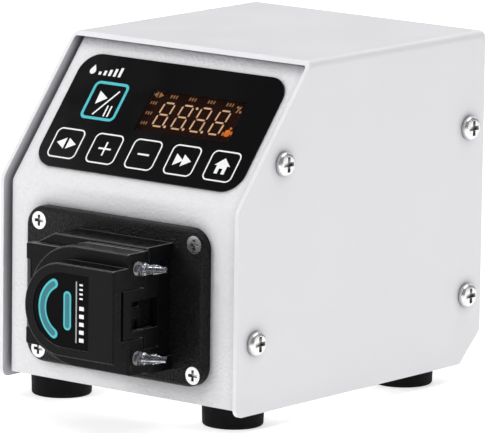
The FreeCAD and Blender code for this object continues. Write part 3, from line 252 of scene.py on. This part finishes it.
def cast_aluminium():
    """Cast metal, as left by the mould, with a fine rough skin."""
    finish = Finish("cast_aluminium", (0.62, 0.63, 0.64), 0.4, metallic=1.0)
    finish.bump((finish.noise(0.4, 4), 0.02))
    return finish.spread(finish.noise(1.5), 0.32, 0.5, "Roughness").material


def laminations():
    """Painted motor stack with its sheet edges showing as fine bands."""
    finish = Finish("laminations", (0.02, 0.02, 0.022), 0.38)
    sheet = 0.5
    bands = finish.node("ShaderNodeTexWave", bands_direction="Y")
    # At a scale of one, the wave texture's bands are 2 pi / 20 apart.
    bands.inputs["Scale"].default_value = 2 * math.pi / (20 * sheet * MM)
    finish.link(finish.place, bands.inputs["Vector"])
    finish.bump((bands.outputs["Fac"], 0.05))
    return finish.material


def solder_mask():
    """Green circuit board with faint copper tracks under the mask."""
    finish = Finish("solder_mask", (0.012, 0.1, 0.045), 0.3)
    tracks = finish.node("ShaderNodeTexBrick", offset=0.37, squash=0.6)
    tracks.inputs["Scale"].default_value = 1 / (9 * MM)
    tracks.inputs["Mortar Size"].default_value = 0.05
    finish.link(finish.place, tracks.inputs["Vector"])
    finish.bump((tracks.outputs["Fac"], 0.04))
    return finish.tint(tracks.outputs["Fac"], (0.03, 0.2, 0.09)).material


def clear_plastic():
    """Clear moulded plastic with faint flow marks."""
    finish = Finish("clear_plastic", (0.9, 0.92, 1.0), 0.04, transmission_weight=1.0, ior=1.49)
    finish.bump((finish.noise(1.2), 0.004))
    return finish.spread(finish.noise(3), 0.02, 0.06, "Roughness").material


def silicone():
    """Milky pump tubing that lets some light through."""
    finish = Finish("silicone", (0.82, 0.8, 0.75), 0.36, transmission_weight=0.35, ior=1.41)
    finish.bump((finish.noise(0.8), 0.01))
    return finish.tint(finish.noise(4), (0.74, 0.72, 0.68)).material


def acetal(name, colour):
    """Turned engineering plastic, smooth and waxy."""
    finish = Finish(name, colour, 0.3)
    finish.bump((finish.noise(0.35, 3), 0.006))
    return finish.spread(finish.noise(3), 0.24, 0.36, "Roughness").material


def tinted_window():
    """The brown window: partly see-through, with a smooth face."""
    finish = Finish("tinted_window", (0.012, 0.004, 0.003), 0.12, alpha=0.4, specular_ior_level=0.05)
    finish.bump((finish.noise(8), 0.01))
    return finish.material


def display_back():
    """The unlit display module: very dark red-brown with a fine moulded grain."""
    finish = Finish("display_back", (0.035, 0.009, 0.004), 0.45, specular_ior_level=0.1)
    finish.bump((finish.noise(0.3), 0.01))
    return finish.tint(finish.noise(6), (0.06, 0.018, 0.007)).material


def print_ink(name, colour, roughness=0.45):
    """Screen-printed ink: flat colour with slight mottling."""
    finish = Finish(name, colour, roughness)
    finish.bump((finish.noise(0.25), 0.003))
    return finish.tint(finish.noise(1.5), tuple(c * 0.9 for c in colour)).material


def lit(name, colour, strength):
    """A lit segment, a little uneven along its length."""
    finish = Finish(name, colour, 0.5, emission_color=(*colour, 1.0), emission_strength=strength)
    return finish.spread(finish.noise(1.2), strength * 0.75, strength * 1.15, "Emission Strength").material


NICKEL = plated("nickel", (0.72, 0.72, 0.72), 0.24)
BLACK_STEEL = plated("black_oxide", (0.06, 0.06, 0.065), 0.35)
GROUND_STEEL = plated("ground_steel", (0.6, 0.6, 0.62), 0.22, (1, 0.1, 1))
TIN = plated("tin_plate", (0.66, 0.66, 0.64), 0.3)
BRASS = plated("brass", (0.6, 0.42, 0.16), 0.3)
# The pump head's edges facing the light get a near-white painted highlight.
HEAD_BLACK = moulded_black("head_black", roughness=0.29, edge=(0.85, 0.85, 0.86))
FITTING_BLACK = moulded_black("fitting_black", (0.02, 0.02, 0.021), 0.42)
KEY_FILM = gloss_film("key_film")
OVERLAY_FILM = gloss_film("overlay_film")
LABEL_FILM = gloss_film("label_film", (0.0015, 0.0015, 0.002), 0.14, 0.04)
WHITE_INK = print_ink("white_ink", (0.87, 0.87, 0.87))
GREY_INK = print_ink("grey_ink", (0.33, 0.35, 0.36))
CYAN_INK = print_ink("cyan_ink", (0.045, 0.5, 0.56))
TEAL_INK = print_ink("teal_ink", (0.012, 0.16, 0.19))
DISPLAY_BACK = display_back()
LIT_SEGMENT = lit("lit_segment", (1.0, 0.62, 0.36), 1.5)
LIT_SMALL = lit("lit_small", (0.95, 0.5, 0.22), 0.55)
LIT_ORANGE = lit("lit_orange", (1.0, 0.25, 0.03), 1.3)

NODE_FINISHES = (
    (cover_paint(), ("cover",)),
    (panel_paint(), ("chassis",)),
    (rubber(), ("foot_front_left", "foot_front_right", "foot_rear_left", "foot_rear_right")),
    (NICKEL, ("cover_screws", "foot_screws", "plate_screws", "board_screws", "motor_bolts")),
    (BLACK_STEEL, ("motor_screws", "base_screws", "cartridge_screws", "hub_screw", "striker_pin")),
    (GROUND_STEEL, ("motor_shaft", "roller_pins", "lever_pins", "lever_spring", "motor_core",
                    "motor_bearing_front", "motor_bearing_rear")),
    (TIN, ("control_port",)),
    (BRASS, ("shaft_bush", "board_posts")),
    (OVERLAY_FILM, ("keypad_overlay",)),
    (KEY_FILM, ("key_start", "key_direction", "key_plus", "key_minus", "key_fast", "key_home")),
    (tinted_window(), ("display_window",)),
    (DISPLAY_BACK, ("display_module",)),
    (solder_mask(), ("control_board", "driver_board")),
    (FITTING_BLACK, ("key_switches", "power_switch_body", "power_socket", "driver_capacitors")),
    (moulded_black("rocker_black", (0.02, 0.02, 0.02), 0.22), ("power_rocker",)),
    (crinkle_coat(), ("mount_plate",)),
    (HEAD_BLACK, ("head_base", "cartridge_body", "cartridge_back_plate", "cartridge_cover", "release_lever")),
    (LABEL_FILM, ("cartridge_label",)),
    (silicone(), ("pump_tube",)),
    (clear_plastic(), ("tube_connector_upper", "tube_connector_lower")),
    (acetal("rotor_acetal", (0.7, 0.69, 0.65)), ("rotor_cage",)),
    (acetal("roller_acetal", (0.82, 0.81, 0.78)), ("roller_1", "roller_2", "roller_3")),
    (cast_aluminium(), ("motor_front_bell", "motor_rear_bell", "driver_heat_sink")),
    (laminations(), ("motor_stator",)),
)
for material, names in NODE_FINISHES:
    for name in names:
        NODES[name].data.materials.clear()
        NODES[name].data.materials.append(material)


# ---------------------------------------------------------------- shapes


class Face:
    """The outermost flat face of a CAD piece. Points on it are given in millimetres from its middle."""

    def __init__(self, node, outwards):
        right = Vector((1, 0, 0))
        self.out = Vector(outwards).normalized()
        self.across = (right - self.out * self.out.dot(right)).normalized()
        self.up = self.out.cross(self.across)
        points = [vertex.co for vertex in NODES[node].data.vertices]
        spans = [
            (min(p.dot(side) for p in points), max(p.dot(side) for p in points))
            for side in (self.across, self.up)
        ]
        self.width, self.height = ((high - low) / MM for low, high in spans)
        depth = max(p.dot(self.out) for p in points)
        self.middle = self.across * sum(spans[0]) / 2 + self.up * sum(spans[1]) / 2 + self.out * depth

    def point(self, x, y, lift=0.0):
        return self.middle + (self.across * x + self.up * y + self.out * lift) * MM


def finish_mesh(name, bm, material, body):
    """Turns bm into an object of that material that rides on body."""
    bmesh.ops.recalc_face_normals(bm, faces=bm.faces)
    mesh = bpy.data.meshes.new(name)
    bm.to_mesh(mesh)
    bm.free()
    mesh.materials.append(material)
    made = bpy.data.objects.new(name, mesh)
    bpy.context.scene.collection.objects.link(made)
    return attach(made, body)


def printed(name, face, outlines, material, body, low=INK_ROOT, high=INK_TOP, rings=()):
    """Flat marks on a face: filled outlines, and rings given as an outer and an inner outline."""
    bm = bmesh.new()
    for outline in outlines:
        bottom = [bm.verts.new(face.point(x, y, low)) for x, y in outline]
        top = [bm.verts.new(face.point(x, y, high)) for x, y in outline]
        bm.faces.new(bottom[::-1])
        bm.faces.new(top)
        for i in range(len(outline)):
            j = (i + 1) % len(outline)
            bm.faces.new((bottom[i], bottom[j], top[j], top[i]))
    for outer, inner in rings:
        loops = [
            [bm.verts.new(face.point(x, y, lift)) for x, y in outline]
            for outline, lift in ((outer, low), (outer, high), (inner, high), (inner, low))
        ]
        for a, b in zip(loops, loops[1:] + loops[:1]):
            for i in range(len(outer)):
                j = (i + 1) % len(outer)
                bm.faces.new((a[i], a[j], b[j], b[i]))
    return finish_mesh(name, bm, material, body)


def rounded_box(width, height, radius, x=0.0, y=0.0, steps=6):
    """A rectangle with rounded corners about x, y."""
    points = []
    for corner, (sx, sy) in enumerate(((1, 1), (-1, 1), (-1, -1), (1, -1))):
        for step in range(steps + 1):
            angle = math.pi / 2 * (corner + step / steps)
            cx = x + sx * (width / 2 - radius)
            cy = y + sy * (height / 2 - radius)
            points.append((cx + radius * math.cos(angle), cy + radius * math.sin(angle)))
    return points


def outline_ring(width, height, radius, line):
    """A rounded rectangular frame of the given line width."""
    outer = rounded_box(width, height, radius)
    inner = rounded_box(width - 2 * line, height - 2 * line, radius - line)
    return outer, inner


def bar(x1, y1, x2, y2, width):
    """A straight stroke between two points."""
    along = Vector((x2 - x1, y2 - y1)).normalized() * width / 2
    side = (-along.y, along.x)
    return [
        (x1 - side[0], y1 - side[1]),
        (x2 - side[0], y2 - side[1]),
        (x2 + side[0], y2 + side[1]),
        (x1 + side[0], y1 + side[1]),
    ]


# ---------------------------------------------------------------- keypad and display

SLOPE_OUT = -Vector(JOINTS["key_start_press"]["axis"])
KEY_LINE = 0.52
START_LINE = 1.05
KEY_CORNER = 2.25
KEY_MARGIN = 0.05
SIGN_LINE = 0.66


def key_icons():
    """The printed symbol of each key, about the key's middle."""
    return {
        "key_direction": [
            [(-4.1, 0.0), (-0.5, 2.1), (-0.5, -2.1)],
            [(4.1, 0.0), (0.5, -2.1), (0.5, 2.1)],
        ],
        "key_plus": [
            bar(-2.6, 0, 2.6, 0, SIGN_LINE),
            bar(0, SIGN_LINE / 2, 0, 2.6, SIGN_LINE),
            bar(0, -2.6, 0, -SIGN_LINE / 2, SIGN_LINE),
        ],
        "key_minus": [bar(-2.4, 0, 2.4, 0, SIGN_LINE)],
        "key_fast": [
            [(-3.3, 2.3), (-3.3, -2.3), (0.2, 0.0)],
            [(-0.1, 2.3), (-0.1, -2.3), (3.6, 0.0)],
        ],
        "key_home": [
            [(-3.2, 0.2), (0.0, 3.1), (3.2, 0.2), (2.1, 0.2), (-2.1, 0.2)],
            [(-2.1, 0.2), (-2.1, -2.9), (-0.75, -2.9), (-0.75, -0.9), (-0.75, 0.2)],
            [(-0.75, 0.2), (-0.75, -0.9), (0.75, -0.9), (0.75, 0.2)],
            [(0.75, 0.2), (0.75, -2.9), (2.1, -2.9), (2.1, 0.2)],
        ],
        "key_start": [
            [(-3.7, 3.6), (-3.5, -1.5), (0.5, 1.2)],
            bar(-2.5, -5.5, 4.2, 4.3, 0.62),
            bar(2.3, -5.7, 2.3, -1.5, 0.6),
            bar(3.9, -5.7, 3.9, -1.5, 0.6),
        ],
    }


def build_key_prints():
    """White outlines and symbols on the keys; the start key's outline is cyan and thicker."""
    for node, outlines in key_icons().items():
        face = Face(node, SLOPE_OUT)
        start = node == "key_start"
        line = START_LINE if start else KEY_LINE
        ring = outline_ring(face.width - 2 * KEY_MARGIN, face.height - 2 * KEY_MARGIN, KEY_CORNER, line)
        printed(f"{node}_outline", face, (), CYAN_INK if start else WHITE_INK, node, rings=[ring])
        printed(f"{node}_symbol", face, outlines, WHITE_INK, node)


def slanted(points, x, y, lean=0.12):
    """Points moved to x, y and leaned to the right with height."""
    return [(x + px + py * lean, y + py) for px, py in points]


def segment(x1, y1, x2, y2, width):
    """One pointed-end segment of a digit."""
    along = Vector((x2 - x1, y2 - y1))
    length = along.length
    along.normalize()
    side = Vector((-along.y, along.x)) * width / 2
    start, end = Vector((x1, y1)), Vector((x2, y2))
    tip = along * min(width / 2, length / 3)
    corners = (start, start + tip + side, end - tip + side, end, end - tip - side, start + tip - side)
    return [tuple(corner) for corner in corners]


DIGIT_WIDTH = 4.3
DIGIT_HEIGHT = 9.1
DIGIT_PITCH = 7.85
DIGIT_LINE = 0.6
DIGIT_GAP = 0.42
POINT_SIZE = 0.95


def digit(x, y):
    """All seven segments of a digit whose lower left corner is at x, y."""
    mid = DIGIT_HEIGHT / 2
    gap = DIGIT_GAP
    strokes = [(gap, level, DIGIT_WIDTH - gap, level) for level in (0, mid, DIGIT_HEIGHT)]
    strokes += [(side, low + gap, side, low + mid - gap) for side in (0, DIGIT_WIDTH) for low in (0, mid)]
    return [slanted(segment(*stroke, DIGIT_LINE), x, y) for stroke in strokes]


def build_display():
    """Lit digits, points and small symbols on the module behind the window."""
    face = Face("display_module", SLOPE_OUT)
    left, low = -15.0, -4.7
    digits = []
    point_places = []
    for place in range(4):
        digits += digit(left + place * DIGIT_PITCH, low)
    for place in range(3):
        point_places.append((left + place * DIGIT_PITCH + DIGIT_WIDTH + 1.15, low + 0.2))
    point_places.append((left + 2 * DIGIT_PITCH - 0.9, low + DIGIT_HEIGHT - 0.6))
    points = [rounded_box(POINT_SIZE, POINT_SIZE, 0.4, x, y) for x, y in point_places]
    printed("display_digits", face, digits, LIT_SEGMENT, "case", LIT_ROOT, LIT_TOP)
    printed("display_points", face, points, LIT_SEGMENT, "case", LIT_ROOT, LIT_TOP)
    printed("display_marks", face, small_marks(left, low), LIT_SMALL, "case", LIT_ROOT, LIT_TOP)
    # The lamp is a small symbol of four blobs.
    x, y = 16.3, -3.6
    lamp = [
        rounded_box(2.2, 2.6, 0.8, x, y),
        rounded_box(0.9, 0.9, 0.3, x + 0.6, y + 1.9),
        rounded_box(0.7, 1.4, 0.3, x - 1.6, y - 0.4),
        rounded_box(0.7, 1.4, 0.3, x + 1.6, y + 0.2),
    ]
    printed("display_lamp", face, lamp, LIT_ORANGE, "case", LIT_ROOT, LIT_TOP)


def build_display_seal():
    """A dark frame around the display module, which closes the gap behind the window."""
    face = Face("display_module", SLOPE_OUT)
    seal_width = 2.5
    seal = outline_ring(face.width + 2 * seal_width, face.height + 2 * seal_width, 2.6, seal_width)
    printed("display_seal", face, (), DISPLAY_BACK, "case", -0.6, -0.05, rings=[seal])


def small_marks(left, low):
    """The row of small marks above the digits and the column to their left."""
    top = low + DIGIT_HEIGHT + 2.5
    lean = 0.15
    arrows = [
        [(left - 5.2, top), (left - 3.4, top + 1.1), (left - 3.4, top - 1.1)],
        [(left - 0.9, top), (left - 2.7, top - 1.1), (left - 2.7, top + 1.1)],
    ]
    row = [
        slanted(bar(step * 1.15, -0.6, step * 1.15, 0.6, 0.5), left + 2.3 + group * 7.9, top, lean)
        for group in range(4)
        for step in range(3)
    ]
    column = [
        slanted(bar(step, -0.55, step, 0.55, 0.45), left - 4.6, low + level, lean)
        for level in (0.6, 4.5, 8.4)
        for step in range(3)
    ]
    per_cent = [
        bar(left + 30.8, top - 2.6, left + 32.0, top - 0.2, 0.55),
        rounded_box(0.9, 0.9, 0.4, left + 30.7, top - 0.5),
        rounded_box(0.9, 0.9, 0.4, left + 32.4, top - 2.2),
    ]
    return arrows + row + column + per_cent


def build_overlay_mark():
    """A plain mark of a droplet and five level bars where a name would be."""
    face = Face("keypad_overlay", SLOPE_OUT)
    margin = 6.2
    radius = 1.25
    x, y = -face.width / 2 + margin, face.height / 2 - margin
    drop = []
    for step in range(16):
        angle = math.radians(-210 + step * 16)
        drop.append((x + radius * math.cos(angle), y - 0.5 + radius * math.sin(angle)))
    drop.append((x, y + 1.9))
    bars = []
    for step in range(5):
        bar_x = x + 3.4 + step * 2.1
        bars.append(bar(bar_x, y - 1.7, bar_x, y - 0.5 + step * 0.6, 1.1))
    printed("overlay_mark", face, [drop] + bars, WHITE_INK, "case")


# ---------------------------------------------------------------- pump head


def arc_band(x, y, inner, outer, half_angle, steps=28):
    """A band along an arc opening to the right, with round ends."""
    middle, thick = (inner + outer) / 2, (outer - inner) / 2
    points = []
    for radius, start, end in ((outer, -half_angle, half_angle), (inner, half_angle, -half_angle)):
        for step in range(steps + 1):
            angle = math.pi - math.radians(start + (end - start) * step / steps)
            points.append((x + radius * math.cos(angle), y + radius * math.sin(angle)))
        turn = math.pi - math.radians(end)
        cx, cy = x + middle * math.cos(turn), y + middle * math.sin(turn)
        first = turn if radius == outer else turn + math.pi
        for step in range(1, 8):
            angle = first - math.pi * step / 8
            points.append((cx + thick * math.cos(angle), cy + thick * math.sin(angle)))
    return points


def build_label():
    """The printed marks of the cartridge's label."""
    face = Face("cartridge_label", (0, -1, 0))
    edge = face.width / 2
    arc_x, pill_x, line_x = edge - 10.3, edge - 9.0, edge - 5.2
    second_coat = INK_TOP + 0.01
    printed("label_arc", face, [arc_band(arc_x, 0, 7.7, 10.9, 62)], CYAN_INK, "cartridge")
    inner_arc = [arc_band(arc_x, 0, 8.3, 10.2, 60)]
    printed("label_arc_inner", face, inner_arc, TEAL_INK, "cartridge", high=second_coat)
    printed("label_pill", face, [rounded_box(3.2, 12.8, 1.59, pill_x, 0)], CYAN_INK, "cartridge")
    inner_pill = [rounded_box(1.9, 11.4, 0.94, pill_x, 0)]
    printed("label_pill_inner", face, inner_pill, TEAL_INK, "cartridge", high=second_coat)
    printed("label_line", face, [bar(line_x, -10.1, line_x, 10.1, 0.5)], GREY_INK, "cartridge")
    wide = [bar(edge - 3.9, y, edge - 2.0, y, 1.3) for y in (-9.0 + step * 2.6 for step in range(5))]
    fine = [bar(edge - 3.9, y, edge - 2.5, y, 0.6) for y in (4.6 + step * 1.5 for step in range(4))]
    printed("label_steps", face, wide + fine, WHITE_INK, "cartridge")


# ---------------------------------------------------------------- studio and camera


def build_camera():
    """A long lens from the front right, a little above the pump."""
    place = (1.24817, -1.53554, 0.41406)
    turn, down, roll = (math.radians(angle) for angle in (38.869, 10.163, 0.749))
    camera = bpy.data.objects.new("camera", bpy.data.cameras.new("camera"))
    bpy.context.scene.collection.objects.link(camera)
    camera.data.lens = 446.5
    camera.data.sensor_width = 36
    camera.matrix_world = (
        Matrix.Translation(place)
        @ Matrix.Rotation(turn, 4, "Z")
        @ Matrix.Rotation(math.pi / 2 - down, 4, "X")
        @ Matrix.Rotation(roll, 4, "Z")
    )
    bpy.context.scene.camera = camera


def build_surround():
    """An even white surround."""
    scene = bpy.context.scene
    scene.view_settings.view_transform = "Standard"
    world = bpy.data.worlds.new("studio")
    world.use_nodes = True
    background = world.node_tree.nodes["Background"]
    background.inputs["Color"].default_value = (1, 1, 1, 1)
    background.inputs["Strength"].default_value = 0.26
    scene.world = world


def build_floor():
    """A pale paper floor that glows a little, like a lit backdrop."""
    bm = bmesh.new()
    bmesh.ops.create_grid(bm, x_segments=1, y_segments=1, size=4.0)
    mesh = bpy.data.meshes.new("floor")
    bm.to_mesh(mesh)
    bm.free()
    floor = bpy.data.objects.new("floor", mesh)
    bpy.context.scene.collection.objects.link(floor)
    finish = Finish("floor_paper", (0.9, 0.9, 0.9), 0.9, emission_color=(1, 1, 1, 1), emission_strength=0.55)
    finish.tint(finish.noise(200), (0.92, 0.92, 0.92))
    mesh.materials.append(finish.material)


def build_lights():
    """Square softboxes aimed at the pump. A row is a name, a place, a size in metres and a power in watts."""
    target = Vector((0, 0, 0.06))
    for name, place, size, power in (
        ("key_left", (-0.5, -1.3, 0.6), 0.35, 8),
        ("panel_left", (-1.28, -0.395, 1.07), 0.4, 2.2),
        ("head_edge", (-0.74, 0.055, 0.94), 0.2, 1.2),
        ("top", (0.1, 0.25, 1.5), 1.2, 13),
        ("right", (1.5, 0.5, 0.45), 1.0, 2.8),
        ("back", (-0.3, 1.4, 0.8), 1.0, 4),
    ):
        light = bpy.data.objects.new(name, bpy.data.lights.new(name, "AREA"))
        light.data.size = size
        light.data.energy = power
        light.location = place
        light.rotation_euler = (target - Vector(place)).to_track_quat("-Z", "Y").to_euler()
        bpy.context.scene.collection.objects.link(light)


build_key_prints()
build_display()
build_display_seal()
build_overlay_mark()
build_label()
build_camera()
build_surround()
build_floor()
build_lights()
